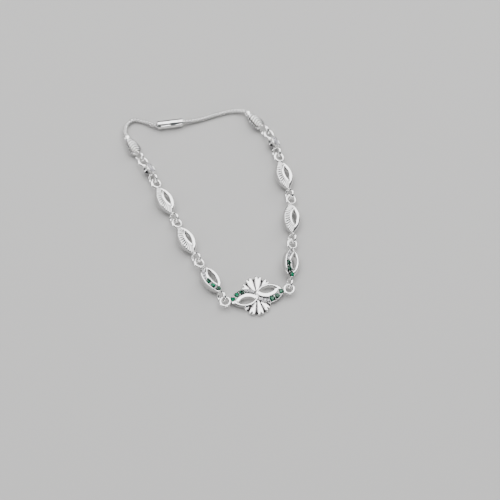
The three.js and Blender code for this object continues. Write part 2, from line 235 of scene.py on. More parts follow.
class RibbedSizes(bpy.types.PropertyGroup):
    """The hole and the ribs of a ribbed link, which is an open oval like the others."""

    hole_length: length("Hole length", "Tip to tip", 4.2)
    hole_width: length("Hole width", "Across the widest place", 1.5)
    hole_x: offset("Hole X", "Middle of the hole towards the far tip", 0.35)
    hole_y: offset("Hole Y", "Middle of the hole across the link", -0.6)
    band: fraction("Band", "Share of the broad side, beside the hole, that is smooth", 0.33)
    bulge: length("Bulge", "Drop of that band to its two sides", 0.2)
    step: length("Step", "Drop from that band to the ribs", 0.14)
    bevel: length("Bevel", "Smooth line between the ribs and the outer edge", 0.16)
    rib_depth: length("Rib depth", "Depth of the grooves between the ribs", 0.17)
    ribs: number("Ribs", "Ribs on the broad side", 17, lowest=3)


class RosetteSizes(bpy.types.PropertyGroup):
    """The fluted rosette behind the leaves."""

    front: length("Front", "Reach of the fan before the leaves", 5.8)
    back: length("Back", "Reach of the fan behind them", 6.2)
    side: length("Side", "Reach under the leaves", 3.0)
    lean: angular("Lean", "How far the back fan leans to one side", 10)
    edge: length("Edge", "Height of a petal's rim", 0.85)
    crown: length("Crown", "Height of the middle", 1.25)
    groove: length("Groove", "Depth of the groove between two petals at the rim", 0.62)
    crease: length("Crease", "Depth of the crease that parts a petal's rim in two", 0.16)
    petals: number("Petals", "Petals all the way round", 13, lowest=5)
    turn: angular("Turn", "How far it is turned from the line across the leaves", -14)


class StoneSizes(bpy.types.PropertyGroup):
    """The cut stones and their seats."""

    green_radius: length("Green stone radius", "To the girdle", 0.7)
    small_radius: length("Small stone radius", "To the girdle", 0.4)
    bezel_radius: length("Bezel stone radius", "To the girdle", 1.52)
    seat_gap: length("Seat gap", "Room round a stone in its seat", 0.05)


class EndSizes(bpy.types.PropertyGroup):
    """The bezels, the end beads, the chain and the clasp."""

    bezel_radius: length("Bezel radius", "Outside of the rim", 1.95)
    bezel_ball: length("Bezel ball", "Radius of the ball-shaped cup under the rim", 1.6)
    bezel_depth: length("Bezel depth", "From the foot to the rim", 2.7)
    bezel_reach: length("Bezel reach", "Between the rings soldered to the cup", 3.4)
    bezel_wall: length("Bezel wall", "Thickness of the rim", 0.35)
    bead_length: length("Bead length", "Without its ring and collar", 5.6)
    bead_shoulder: length("Bead shoulder", "How far it swells over the chain's collar", 0.5)
    bead_width: length("Bead width", "Across the widest place", 4.0)
    bead_depth: length("Bead depth", "From back to ridge", 3.0)
    collar_radius: length("Collar radius", "Outside of the chain's collar", 1.0)
    collar_length: length("Collar length", "Along the chain", 1.3)
    socket_radius: length("Socket radius", "Inside of the chain's sockets", 0.88)
    chain_radius: length("Chain radius", "Outside of the plaited chain", 0.72)
    chain_wire: length("Chain wire", "Radius of the chain's wire", 0.25)
    chain_pitch: length("Chain pitch", "Length of one plait", 0.9)
    clasp_length: length("Clasp length", "End to end", 7.4)
    clasp_radius: length("Clasp radius", "Outside of the barrel", 1.3)


class BraceletColours(bpy.types.PropertyGroup):
    """Colours of the metal, the stones and the stage."""

    silver: colour("Silver", "Polished metal", (0.95, 0.945, 0.935))
    # painted shade: the dark colour that is mixed into the silver where it is painted darker
    painted_shade_colour: colour("Tarnish", "Metal down in the grooves", (0.16, 0.155, 0.16))
    # The stones' facet tones are painted light: bright facets are painted glints, dark ones painted
    # shade.
    green_deep: colour("Deep green", "Darkest facets of the green stones", (0.0, 0.008, 0.005))
    green_bright: colour("Bright green", "Lightest facets", (0.002, 0.24, 0.11))
    clear_shade: colour("Clear shade", "Darkest facets of the clear stones", (0.12, 0.105, 0.15))
    clear_light: colour("Clear light", "Lightest facets", (0.95, 0.95, 0.98))
    floor: colour("Floor", "Pale table under the bracelet", (0.46, 0.456, 0.45))


class StageSizes(bpy.types.PropertyGroup):
    """The camera and the light."""

    elevation: angular("Elevation", "Angle of the camera above the table", 65)
    distance: length("Distance", "From the camera to its target", 600)
    view_width: length("View width", "What the camera sees across at its target", 141.5)
    target_x: offset("Target X", "Middle of the view", -2.0)
    target_y: offset("Target Y", "Middle of the view", 14.75)


class BraceletSettings(bpy.types.PropertyGroup):
    """All the settings of the bracelet."""

    rings: PointerProperty(type=RingSizes)
    link: PointerProperty(type=LinkSizes)
    leaf: PointerProperty(type=LeafSizes)
    ribbed: PointerProperty(type=RibbedSizes)
    rosette: PointerProperty(type=RosetteSizes)
    stones: PointerProperty(type=StoneSizes)
    ends: PointerProperty(type=EndSizes)
    colours: PointerProperty(type=BraceletColours)
    stage: PointerProperty(type=StageSizes)


# ---- surfaces -------------------------------------------------------------------------------


def shell(rings, loop=False):
    """A closed shell through an array of rings, rings x points x 3, as its points and faces.

    With loop, the last ring joins the first. Otherwise each end is closed by a fan on the middle
    of its ring. The faces are turned outwards by the sign of the volume that they hold.
    """
    points = rings.reshape(-1, 3)
    grid = np.arange(len(points)).reshape(rings.shape[:2])
    if loop:
        grid = np.vstack([grid, grid[:1]])
        fans = np.empty((0, 3), int)
    else:
        poles = np.full((2, grid.shape[1]), [[len(points)], [len(points) + 1]])
        points = np.vstack([points, rings[0].mean(0), rings[-1].mean(0)])
        start = np.stack([poles[0], np.roll(grid[0], -1), grid[0]], 1)
        end = np.stack([poles[1], grid[-1], np.roll(grid[-1], -1)], 1)
        fans = np.vstack([start, end])
    near, far = grid[:-1], grid[1:]
    corners = (near, np.roll(near, -1, 1), np.roll(far, -1, 1), far)
    quads = np.stack(corners, -1).reshape(-1, 4)
    triangles = np.vstack([quads[:, :3], quads[:, (0, 2, 3)], fans])
    way = -1 if signed_volume(points, triangles) < 0 else 1
    return points, quads[:, ::way].tolist() + fans[:, ::way].tolist()


def signed_volume(points, triangles):
    """Six times the volume inside: the sum of a . (b x c) over the triangles' corners."""
    a, b, c = (points[corner] for corner in triangles.T)
    return float(np.einsum("ij,ij->i", a, np.cross(b, c)).sum())


def joined(shells):
    """Several shells as one set of points and faces."""
    faces, before = [], 0
    for points, own_faces in shells:
        faces += [[corner + before for corner in face] for face in own_faces]
        before += len(points)
    return np.vstack([points for points, _ in shells]), faces


def around(steps):
    """Evenly spaced angles all the way round."""
    return np.arange(steps) * TURN / steps


def turned(section, steps):
    """A shell turned about Z from its half section of (radius, height) pairs, bottom first."""
    section = np.asarray(section, float)
    turn = around(steps)
    rings = np.empty((len(section), steps, 3))
    rings[..., 0] = section[:, :1] * np.cos(turn)
    rings[..., 1] = section[:, :1] * np.sin(turn)
    rings[..., 2] = section[:, 1:]
    return shell(rings)


def unit(vectors):
    """Each row of an array at length 1."""
    return vectors / np.linalg.norm(vectors, axis=1)[:, None]


def wire_loop(centre_line, radius, sides):
    """A round wire along a closed line: at each point a circle square to the line."""
    tangent = unit(np.roll(centre_line, -1, 0) - np.roll(centre_line, 1, 0))
    across = unit(np.cross(tangent, centre_line - centre_line.mean(0)))
    inward = np.cross(across, tangent)
    turn = around(sides)[None, :, None]
    circles = radius * (np.cos(turn) * inward[:, None] + np.sin(turn) * across[:, None])
    return shell(centre_line[:, None] + circles, loop=True)


def towards(degrees):
    """The unit vector on the table that points that far anticlockwise from +X."""
    angle = math.radians(degrees)
    return np.array((math.cos(angle), math.sin(angle), 0))


def about(axis, degrees):
    """The matrix that turns points about the X, Y or Z axis."""
    c, s = math.cos(math.radians(degrees)), math.sin(math.radians(degrees))
    i, j = {"X": (1, 2), "Y": (2, 0), "Z": (0, 1)}[axis]
    matrix = np.eye(3)
    matrix[i, i] = matrix[j, j] = c
    matrix[i, j], matrix[j, i] = -s, s
    return matrix


def moved(solid, matrix=None, by=(0, 0, 0)):
    """A shell turned by a matrix and then shifted."""
    points, faces = solid
    if matrix is not None:
        points = points @ matrix.T
    return points + np.asarray(by, float), faces


def in_turn(*moves):
    """One move after another as a single one. Each takes a shell and gives it back moved."""

    def move(solid):
        for each in moves:
            solid = each(solid)
        return solid

    return move


# ---- meshes ---------------------------------------------------------------------------------


def mesh_object(name, solid, recess=None):
    """A new object at the origin that holds one shell.

    The last argument gives each point's painted shade, from 0 to 1: how far its colour is painted
    darker.
    """
    points, faces = solid
    mesh = bpy.data.meshes.new(name)
    mesh.from_pydata(points.tolist(), [], faces)
    mesh.update()
    if recess is not None:
        shade = mesh.attributes.new("recess", "FLOAT", "POINT")
        shade.data.foreach_set("value", np.clip(recess, 0, 1).ravel())
    piece = bpy.data.objects.new(name, mesh)
    bpy.context.scene.collection.objects.link(piece)
    return piece


def combine(piece, solid, operation, recess=None):
    """Joins a closed shell to a piece (UNION) or cuts it away (DIFFERENCE)."""
    tool = mesh_object("tool", solid, recess)
    modifier = piece.modifiers.new("combine", "BOOLEAN")
    modifier.solver = "MANIFOLD"
    modifier.operation = operation
    modifier.object = tool
    whole = bpy.data.meshes.new_from_object(
        piece.evaluated_get(bpy.context.evaluated_depsgraph_get())
    )
    if not whole.polygons:
        raise RuntimeError(f"{piece.name} is empty after {operation.lower()}")
    piece.modifiers.clear()
    old = piece.data
    piece.data = whole
    whole.name = piece.name
    bpy.data.meshes.remove(old)
    bpy.data.meshes.remove(tool.data)


def finish_piece(piece, node, material, sharp=40):
    """Gives a piece its material and its place in the frame; edges over `sharp` degrees stay."""
    mesh = piece.data
    mesh.materials.clear()
    mesh.materials.append(material)
    mesh.shade_smooth()
    mesh.set_sharp_from_angle(angle=math.radians(sharp))
    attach(piece, "root")
    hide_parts(node)


# ---- places of the links --------------------------------------------------------------------


class Place:
    """Where a link lies: its middle on the table's plan, its heading, roll and height."""

    def __init__(self, x, y, heading, roll, lift=0.0):
        self.x, self.y, self.heading, self.roll, self.lift = x, y, heading, roll, lift

    def rest(self, points):
        """Lifts the link until its lowest point touches the table."""
        self.lift = -float((points @ about("X", self.roll).T)[:, 2].min())

    def put(self, solid):
        """A shell from the link's own axes to where the link lies."""
        matrix = about("Z", self.heading) @ about("X", self.roll)
        return moved(solid, matrix, (self.x, self.y, self.lift))


def ring_reach(rings):
    """From the tip of a link to the centre of the ring soldered to it."""
    return rings.radius + rings.wire - rings.solder


def centre_reach(leaf):
    """From the middle of the bracelet to a tip of the centrepiece."""
    return leaf.middle + leaf.length / 2


def link_reach(settings, name):
    """Tip to tip length of a link without its rings."""
    if name == "bezel":
        return settings.ends.bezel_reach
    if name == "end_bead":
        return settings.ends.bead_length
    return settings.link.length


def arm_places(settings, side):
    """The place of each link of one arm.

    The walk starts at the centrepiece's ring. Each link's first ring centre is one pitch further
    along the link's own heading, and its middle lies a ring's reach and half its length on.
    """
    step = ring_reach(settings.rings)
    at = towards(ARMS[side]["tip"]) * (centre_reach(settings.leaf) + step)
    places = {}
    for name, heading, roll in zip(NEAR_TILTS, ARMS[side]["headings"], ARMS[side]["rolls"]):
        along = towards(heading)
        half = link_reach(settings, name) / 2
        at = at + along * (settings.rings.pitch + step + half)
        places[name] = Place(at[0], at[1], heading, roll)
        at = at + along * (half + step)
    return places


def soldered_ring(rings, x, tilt, place):
    """A ring whose plane holds the link's X axis and tilts about it from the table."""
    turn = around(RING_STEPS)
    line = np.stack([np.cos(turn), np.sin(turn), 0 * turn], 1) * rings.radius
    line = line @ about("X", tilt - place.roll).T
    drop = np.array((0, 0, rings.height - place.lift)) @ about("X", -place.roll).T
    return wire_loop(line + drop + (x, 0, 0), rings.wire, WIRE_SIDES)


def both_rings(settings, name, place):
    """The rings soldered to the two tips of a link, or to the near one alone on an end bead."""
    x = link_reach(settings, name) / 2 + ring_reach(settings.rings)
    rings = [soldered_ring(settings.rings, -x, NEAR_TILTS[name], place)]
    if name != "end_bead":
        rings.append(soldered_ring(settings.rings, x, OUTER_TILT, place))
    return joined(rings)


# ---- pointed ovals --------------------------------------------------------------------------


def oval(angle, long, width, x=0.0, y=0.0):
    """The pointed oval: x is the cosine, y the sine raised to a power that fills its sides."""
    sine = np.sin(angle)
    across = np.sign(sine) * np.abs(sine) ** OVAL_POWER
    return np.stack([np.cos(angle) * long / 2 + x, across * width / 2 + y], -1)


def hole_outline(hole, angle):
    """The edge of an oval's hole."""
    return oval(angle, hole.hole_length, hole.hole_width, hole.hole_x, hole.hole_y)


def depth_at(sizes, x):
    """Depth of an oval at a place along it: back and top draw together at its tips."""
    return sizes.depth * (1 - sizes.taper * (x / (sizes.length / 2)) ** 2)


def eased(value, start, end):
    """0 before start, 1 after end and a smooth S between them."""
    t = np.clip((value - start) / (end - start), 0, 1)
    return t * t * (3 - 2 * t)


def sharp_groove(ribs):
    """How deep a place lies between ribs: 1 in each groove, and a half sine wave over each rib.

    The place is a count of ribs, and the grooves are in the middle of each count.
    """
    return 1 - np.sin(np.abs(np.mod(ribs, 1) - 0.5) * math.pi)


def rounding(distance, radius):
    """Drop of a rounded edge, by the distance from it: a parabola that ends at the radius."""
    return 0.4 * radius * np.clip(1 - distance / radius, 0, 1) ** 2


# The outer wall of an oval, down from the edge: its level as a share of the edge's height, its
# reach as a share of the edge's, and its painted shade, a dark reflection painted into the colour.
WALL_SECTION = (
    {"level": 0.93, "reach": 1.0, "recess": 0.1},
    {"level": 0.82, "reach": 1.0, "recess": 0.4},
    {"level": 0.3, "reach": 0.99, "recess": 0.6},
    {"level": 0.1, "reach": 0.98, "recess": 0.3},
    {"level": 0.0, "reach": 0.95, "recess": 0.0},
)


def open_frame(sizes, hole, top):
    """An open oval frame about its own middle, and the painted shade of each point.

    The section runs from the foot of the hole up to its edge, over the top and down the outer
    wall, which swells a little. `top` gives the height over the middle plane and the painted
    shade from the angle, the place along the oval and the distances to the hole and to the outer
    edge. The foot of the hole is painted half dark and the wall gets a painted dark reflection.
    """
    angle = around(OVAL_STEPS)
    outer = oval(angle, sizes.length, sizes.width)
    inner = hole_outline(hole, angle)
    across = np.linalg.norm(outer - inner, axis=1)
    share = (1 - np.cos(np.linspace(0, math.pi, TOP_STEPS)[:, None])) / 2
    plan = inner + (outer - inner) * share[..., None]
    height, recess = top(angle, plan[..., 0], share * across, (1 - share) * across)
    surface = np.concatenate([plan, height[..., None]], -1)
    low = -depth_at(sizes, outer[:, 0]) / 2
    wall = [
        np.column_stack([outer * row["reach"], low + (height[-1] - low) * row["level"]])
        for row in WALL_SECTION
    ]
    foot = np.column_stack([inner, -depth_at(sizes, inner[:, 0]) / 2])
    rings = np.concatenate([foot[None], surface, wall])
    # painted shade: half on the foot of the hole, and the wall's painted dark reflection
    shade_and_dull = np.array([[row["recess"]] for row in WALL_SECTION]) * np.ones(OVAL_STEPS)
    recess = np.concatenate([np.full((1, OVAL_STEPS), 0.5), recess, shade_and_dull])
    return shell(rings, loop=True), recess


def broad_side(hole, angle):
    """1 along the side of an oval without the hole, fading to 0 past its tips."""
    return eased(-np.sign(hole.hole_y) * np.sin(angle), -0.05, 0.2)


def narrow_top(sizes, x, from_hole, from_edge):
    """Top of the narrow side of an oval: a smooth band, rounded at both edges."""
    band = (from_hole + from_edge) / 2
    bend = 0.3 * band * ((from_hole - from_edge) / (2 * band)) ** 2
    return TOP_LEVEL * depth_at(sizes, x) - bend


def ribbed_top(sizes, ribbed):
    """Top of a ribbed link: a smooth rounded band beside the hole, then a dome of ribs.

    The band is half an ellipse across. The dome falls towards the outer edge by a power of the
    share of the way across. A rib is half a sine wave between two sharp grooves, which are cut
    across the dome. Painted shade darkens the grooves and, less, the foot of the band.
    """

    def top(angle, x, from_hole, from_edge):
        share = from_hole / (from_hole + from_edge)
        bulge = np.clip(2 * share / ribbed.band - 1, -1, 1)
        band = ribbed.bulge * (np.sqrt(1 - 0.97 * bulge**2) - 1) * (share < ribbed.band)
        dome = depth_at(sizes, x) * (TOP_LEVEL - 0.2 * share**3.5)
        stepped = eased(share, ribbed.band - 0.03, ribbed.band + 0.03)
        groove = sharp_groove(angle * 2 * ribbed.ribs / TURN) * stepped
        groove = groove * eased(from_edge, 0.7 * ribbed.bevel, 1.3 * ribbed.bevel)
        edge = rounding(from_edge, 0.3 * MM)
        broad = dome + band - edge - ribbed.step * stepped - ribbed.rib_depth * groove
        narrow = narrow_top(sizes, x, from_hole, from_edge)
        side = broad_side(ribbed, angle)
        foot = np.clip(1 - np.abs(share - ribbed.band) / 0.04, 0, 1)
        # painted shade in the grooves and, less, along the foot of the band, on the broad side only
        return side * broad + (1 - side) * narrow, side * np.maximum(0.85 * groove, 0.5 * foot)

    return top


def channel_top(sizes, stones, direction):
    """Top of an oval with stones: a rounded ridge beside the hole, then a channel for the row.

    The channel is as wide as the stones there, which are the small ones on the side that
    `direction` points to along the oval, and it has a low outer rim. The ridge is a quarter of
    an ellipse on each side of its middle. The broad side falls towards its edge as the share of
    the way there squared.
    """

    def top(angle, x, from_hole, from_edge):
        small = eased(direction * x / sizes.length, -0.02, 0.04)
        radius = stones.green_radius + (stones.small_radius - stones.green_radius) * small
        width = from_hole + from_edge
        row = np.minimum(2 * radius + sizes.seat_rim, 0.7 * width)
        ridge = np.clip(from_hole / (width - row), 0, 1) * 2 - 1
        ridge = sizes.ridge * (np.sqrt(1 - 0.96 * ridge**2) - 1)
        rim = 0.7 * sizes.seat_rim
        lip = eased(from_edge, 0.6 * rim, 1.3 * rim)
        floor = -sizes.channel * lip - rounding(from_edge, rim)
        inside = eased(from_edge - row, 0.15 * MM, -0.1 * MM)
        past_tips = eased(np.abs(x) / sizes.length, 0.43, 0.48)
        side = broad_side(sizes, angle)
        fall = sizes.fall * np.clip(1.2 * from_hole / width - 0.2, 0, 1) ** 1.5
        level = depth_at(sizes, x) * (CHANNEL_LEVEL - fall * np.abs(np.sin(angle)))
        broad = level + (ridge * (1 - inside) + floor * inside) * (1 - past_tips)
        narrow = narrow_top(sizes, x, from_hole, from_edge)
        # painted shade over the channel round the stones, lighter by the small stones
        shade = (0.95 - 0.5 * small) * side * inside * lip * (1 - past_tips)
        return side * broad + (1 - side) * narrow, shade

    return top


# ---- stones ---------------------------------------------------------------------------------


class Seat:
    """Where one stone of a row sits on an oval: its name, radius, girdle's middle and lean."""

    def __init__(self, name, along, stones, sizes, side):
        """The seat lies as far from the edge as it needs, `along` its share of half the length."""
        self.name = name
        self.is_green = name.startswith("green")
        self.radius = stones.green_radius if self.is_green else stones.small_radius
        x = along * sizes.length / 2
        rise = 1 - along**2
        edge = sizes.width / 2 * rise ** (OVAL_POWER / 2)
        slope = edge * OVAL_POWER * x / (rise * (sizes.length / 2) ** 2)
        y = side * (edge - (self.radius + sizes.seat_rim) * math.hypot(1, slope))
        self.spot = np.array((x, y, (sizes.seat_high - 0.5) * depth_at(sizes, x)))
        self.lean = about("X", -side * math.degrees(sizes.seat_lean))

    def put(self, solid):
        """A shell from the seat's own axes to those of the oval."""
        return moved(solid, self.lean, self.spot)


def brilliant(radius):
    """A brilliant cut stone with its girdle at z = 0.

    Rings of corners from the table down: 8 on the table, 8 between the star and kite facets, 16
    above and 16 below the girdle, 8 on the pavilion and the culet.
    """
    eight, sixteen = around(8), around(16)

    def ring(angles, share, height):
        return np.stack(
            [np.cos(angles) * share, np.sin(angles) * share, np.full(len(angles), height)], 1
        )

    points = radius * np.vstack(
        [
            ring(eight, 0.56, 0.34),
            ring(eight + TURN / 16, 0.8, 0.2),
            ring(sixteen, 1, 0.03),
            ring(sixteen, 1, -0.03),
            ring(eight + TURN / 16, 0.42, -0.52),
            np.array([[0, 0, -0.86]]),
        ]
    )
    i = np.arange(8)
    n = (i + 1) % 8
    before = (i - 1) % 8
    top, mid, high, low, pavilion, culet = 0, 8, 16, 32, 48, 56
    faces = [list(range(8))]
    for corners in (
        (top + n, top + i, mid + i),  # star facets
        (top + i, mid + before, high + 2 * i, mid + i),  # kites
        (mid + i, high + 2 * i, high + 2 * i + 1),
        (mid + i, high + 2 * i + 1, high + (2 * i + 2) % 16),
        (low + 2 * i, low + 2 * i + 1, pavilion + i),
        (low + 2 * i + 1, low + (2 * i + 2) % 16, pavilion + i),
        (pavilion + before, low + 2 * i, pavilion + i, np.full(8, culet)),
    ):
        faces += np.stack(np.broadcast_arrays(*corners), 1).tolist()
    j = np.arange(16)
    faces += np.stack([high + j, low + j, low + (j + 1) % 16, high + (j + 1) % 16], 1).tolist()
    return points, faces


def face_outwards(solid):
    """Turns each face of a shell that is round its own middle to look away from it."""
    points, faces = solid
    middle = points.mean(0)
    out = []
    for face in faces:
        corners = points[face]
        normal = np.cross(corners[1] - corners[0], corners[2] - corners[0])
        out.append(face if normal @ (corners.mean(0) - middle) > 0 else face[::-1])
    return points, out


def seat_cutter(radius, gap):
    """The round seat of a stone: straight at the girdle and coned below, open above."""
    section = [
        (0.3 * radius, -0.75 * radius),
        (radius + gap, -0.02 * radius),
        (radius + gap, 1.2 * MM),
    ]
    return turned(section, SEAT_STEPS)


def claw(radius, height):
    """A small round-headed claw, from below the floor up to `height`."""
    turn = np.linspace(0, math.pi / 2, 5)
    section = [(radius, height - 3.2 * radius)]
    section += [(radius * math.cos(t), height - radius + radius * math.sin(t)) for t in turn[:-1]]
    section += [(radius * 0.12, height)]
    return turned(section, CLAW_STEPS)


def seat_row(stones, sizes, direction, side):
    """The seats of a row of stones, whose green ones lie towards -X times `direction`."""
    return [Seat(name, along * direction, stones, sizes, side) for name, along in STONE_ROW.items()]


def row_claws(row):
    """Claws in pairs across the row, in each gap between two stones and beyond its two ends."""
    spots = np.array([seat.spot for seat in row])
    radii = np.array([seat.radius for seat in row])
    along = np.diff(spots, axis=0)
    share = (radii[:-1] / (radii[:-1] + radii[1:]))[:, None]
    middles = spots[:-1] + along * share
    sizes = (radii[:-1] + radii[1:]) / 2
    step = unit(along)
    first = spots[0] - step[0] * radii[0] * CLAW_BEYOND
    last = spots[-1] + step[-1] * radii[-1] * CLAW_BEYOND
    middles = np.vstack([first, middles, last])
    sizes = np.concatenate([radii[:1], sizes, radii[-1:]])
    step = np.vstack([step[:1], step, step[-1:]])
    up = row[0].lean @ (0, 0, 1)
    across = np.cross(up, step)
    claws = []
    for middle, size, way in zip(middles, sizes, across):
        claw_shell = claw(CLAW_LEAST + CLAW_RADIUS * size, CLAW_HEIGHT * size)
        for sign in (-1, 1):
            place = middle + way * sign * size * CLAW_SPREAD
            claws.append(moved(claw_shell, row[0].lean, place))
    return claws


# ---- materials ------------------------------------------------------------------------------


COLOUR, NUMBER, VECTOR = "NodeSocketColor", "NodeSocketFloat", "NodeSocketVector"
MIX_A, MIX_B, MIX_RESULT = 6, 7, 2  # the colour sockets of a Mix node


def add_node(tree, kind, values=(), **settings):
    """A new node of a tree, with its settings and the values of some of its inputs."""
    node = tree.nodes.new(kind)
    for name, value in settings.items():
        setattr(node, name, value)
    for socket, value in dict(values).items():
        node.inputs[socket].default_value = value
    return node


def connect(tree, *links):
    """Links each (node, output, node, input) of a tree."""
    for source, output, target, socket in links:
        tree.links.new(source.outputs[output], target.inputs[socket])


def new_group(name, inputs, outputs):
    """A shader node group with the named sockets and its two end nodes."""
    group = bpy.data.node_groups.new(name, "ShaderNodeTree")
    for socket, kind, default in inputs:
        made = group.interface.new_socket(socket, in_out="INPUT", socket_type=kind)
        made.default_value = default
    for socket, kind in outputs:
        group.interface.new_socket(socket, in_out="OUTPUT", socket_type=kind)
    return group, group.nodes.new("NodeGroupInput"), group.nodes.new("NodeGroupOutput")


def polish_group():
    """Polished cast metal, with painted shade mixed into its colour.

    A slow noise bends the surface, a fine one makes the gloss wander, and the attribute of
    painted shade darkens the colour and roughens the metal a little where it is painted dark.
    """
    name = "hand_polish"
    if name in bpy.data.node_groups:
        return bpy.data.node_groups[name]
    group, start, end = new_group(
        name,
        [
            ("Position", VECTOR, (0, 0, 0)),
            ("Bright", COLOUR, (1, 1, 1, 1)),
            ("Dark", COLOUR, (0, 0, 0, 1)),
            ("Smooth", NUMBER, 0.06),
            ("Rough", NUMBER, 0.2),
        ],
        [("Colour", COLOUR), ("Roughness", NUMBER), ("Height", NUMBER)],
    )
    fine = add_node(group, "ShaderNodeTexNoise", {"Scale": 1400, "Detail": 3})
    slow = add_node(group, "ShaderNodeTexNoise", {"Scale": 500, "Detail": 1})
    # painted shade, from 0 to 1, and the mix that paints it into the silver's colour
    recess = add_node(group, "ShaderNodeAttribute", attribute_name="recess")
    painted_shade_colour = add_node(group, "ShaderNodeMix", data_type="RGBA")
    spread = add_node(group, "ShaderNodeMapRange", {"From Min": 0.35, "From Max": 0.7})
    shade_and_dull = add_node(group, "ShaderNodeMath", {1: 0.05}, operation="MULTIPLY_ADD")
    connect(
        group,
        (start, "Position", fine, "Vector"),
        (start, "Position", slow, "Vector"),
        (recess, "Fac", painted_shade_colour, "Factor"),
        (start, "Bright", painted_shade_colour, MIX_A),
        (start, "Dark", painted_shade_colour, MIX_B),
        (painted_shade_colour, MIX_RESULT, end, "Colour"),
        (fine, "Fac", spread, "Value"),
        (start, "Smooth", spread, "To Min"),
        (start, "Rough", spread, "To Max"),
        (recess, "Fac", shade_and_dull, 0),
        (spread, "Result", shade_and_dull, 2),
        (shade_and_dull, 0, end, "Roughness"),
        (slow, "Fac", end, "Height"),
    )
    return group


def facet_group():
    """Painted glints of light inside a cut stone: each facet takes its own tone from the facet
    attribute.
    """
    name = "facet_fire"
    if name in bpy.data.node_groups:
        return bpy.data.node_groups[name]
    group, start, end = new_group(
        name,
        [
            ("Deep", COLOUR, (0, 0, 0, 1)),
            ("Bright", COLOUR, (1, 1, 1, 1)),
            ("Sharpness", NUMBER, 2.0),
        ],
        [("Colour", COLOUR)],
    )
    facet = add_node(group, "ShaderNodeAttribute", attribute_name="facet")
    power = add_node(group, "ShaderNodeMath", operation="POWER")
    tone = add_node(group, "ShaderNodeMix", data_type="RGBA")
    connect(
        group,
        (facet, "Fac", power, 0),
        (start, "Sharpness", power, 1),
        (power, 0, tone, "Factor"),
        (start, "Deep", tone, MIX_A),
        (start, "Bright", tone, MIX_B),
        (tone, MIX_RESULT, end, "Colour"),
    )
    return group


def new_material(name, values):
    """A material, its node tree and its Principled shader, with values of the shader's sockets."""
    material = bpy.data.materials.new(name)
    material.use_nodes = True
    shader = material.node_tree.nodes["Principled BSDF"]
    for socket, value in values.items():
        shader.inputs[socket].default_value = value
    return material, material.node_tree, shader


def silver_material(settings):
    """Bright polished silver, with painted shade mixed into its colour."""
    name = "polished_silver"
    if name in bpy.data.materials:
        return bpy.data.materials[name]
    colours = settings.colours
    material, tree, shader = new_material(name, {"Metallic": 1})
    place = add_node(tree, "ShaderNodeTexCoord")
    tones = {"Bright": (*colours.silver, 1), "Dark": (*colours.painted_shade_colour, 1)}
    gloss = {"Smooth": 0.08, "Rough": 0.2}
    polish = add_node(tree, "ShaderNodeGroup", {**tones, **gloss}, node_tree=polish_group())
    bump = add_node(tree, "ShaderNodeBump", {"Strength": 0.12, "Distance": 0.05 * MM})
    connect(
        tree,
        (place, "Object", polish, "Position"),
        (polish, "Colour", shader, "Base Color"),
        (polish, "Roughness", shader, "Roughness"),
        (polish, "Height", bump, "Height"),
        (bump, "Normal", shader, "Normal"),
    )
    return material


def stone_material(name, deep, bright, sharpness, values):
    """A cut stone with facets painted between a deep and a bright tone, as glints and shade inside
    it.
    """
    if name in bpy.data.materials:
        return bpy.data.materials[name]
    material, tree, shader = new_material(name, {"Roughness": 0.02, **values})
    tones = {"Deep": (*deep, 1), "Bright": (*bright, 1), "Sharpness": sharpness}
    fire = add_node(tree, "ShaderNodeGroup", tones, node_tree=facet_group())
    connect(tree, (fire, "Colour", shader, "Base Color"))
    return material


def green_material(settings):
    """Deep green faceted stone."""
    c = settings.colours
    values = {"IOR": 1.5, "Transmission Weight": 0.0}
    return stone_material("cut_green", c.green_deep, c.green_bright, 3.5, values)


def clear_material(settings):
    """Clear faceted stone."""
    c = settings.colours
    values = {"IOR": 2.1, "Transmission Weight": 0.3}
    return stone_material("cut_clear", c.clear_shade, c.clear_light, 0.8, values)


def floor_material(settings):
    """Plain matt table top with the faintest mottle."""
    material, tree, shader = new_material("pale_floor", {"Roughness": 0.6})
    floor = np.array(settings.colours.floor)
    tones = {MIX_A: (*floor * 0.985, 1), MIX_B: (*floor, 1)}
    place = add_node(tree, "ShaderNodeTexCoord")
    mottle = add_node(tree, "ShaderNodeTexNoise", {"Scale": 60})
    tone = add_node(tree, "ShaderNodeMix", tones, data_type="RGBA")
    connect(
        tree,
        (place, "Object", mottle, "Vector"),
        (mottle, "Fac", tone, "Factor"),
        (tone, MIX_RESULT, shader, "Base Color"),
    )
    return material


# ---- pieces ---------------------------------------------------------------------------------


def add_stone(settings, node, radius, is_green, put, seed):
    """One cut stone of that node, put in its seat with its facets' tones drawn from its seed."""
    points, faces = face_outwards(brilliant(radius))
    piece = mesh_object(node + "_cut", put((points @ about("Z", 11.0 * seed).T, faces)))
    facet = piece.data.attributes.new("facet", "FLOAT", "FACE")
    facet.data.foreach_set("value", np.random.default_rng(seed).random(len(faces)))
    material = green_material(settings) if is_green else clear_material(settings)
    finish_piece(piece, node, material, sharp=1)


def add_stone_row(settings, prefix, row, put, seed):
    """The stones of a row."""
    for i, seat in enumerate(row):
        into = in_turn(seat.put, put)
        add_stone(settings, prefix + seat.name, seat.radius, seat.is_green, into, seed + i)


def cut_seats(piece, stones, row, put):
    """Cuts the seats of a row of stones into a piece and gives it the claws."""
    seats = [seat.put(seat_cutter(seat.radius, stones.seat_gap)) for seat in row]
    combine(piece, put(joined(seats)), "DIFFERENCE")
    for claw_shell in row_claws(row):
        combine(piece, put(claw_shell), "UNION")


def lay_link(settings, side, name, body, recess):
    """The metal of a link on the table, without its rings: the piece, its node and its place."""
    place = arm_places(settings, side)[name]
    place.rest(body[0])
    node = f"{side}_{name}"
    return mesh_object(node + "_silver", place.put(body), recess), node, place


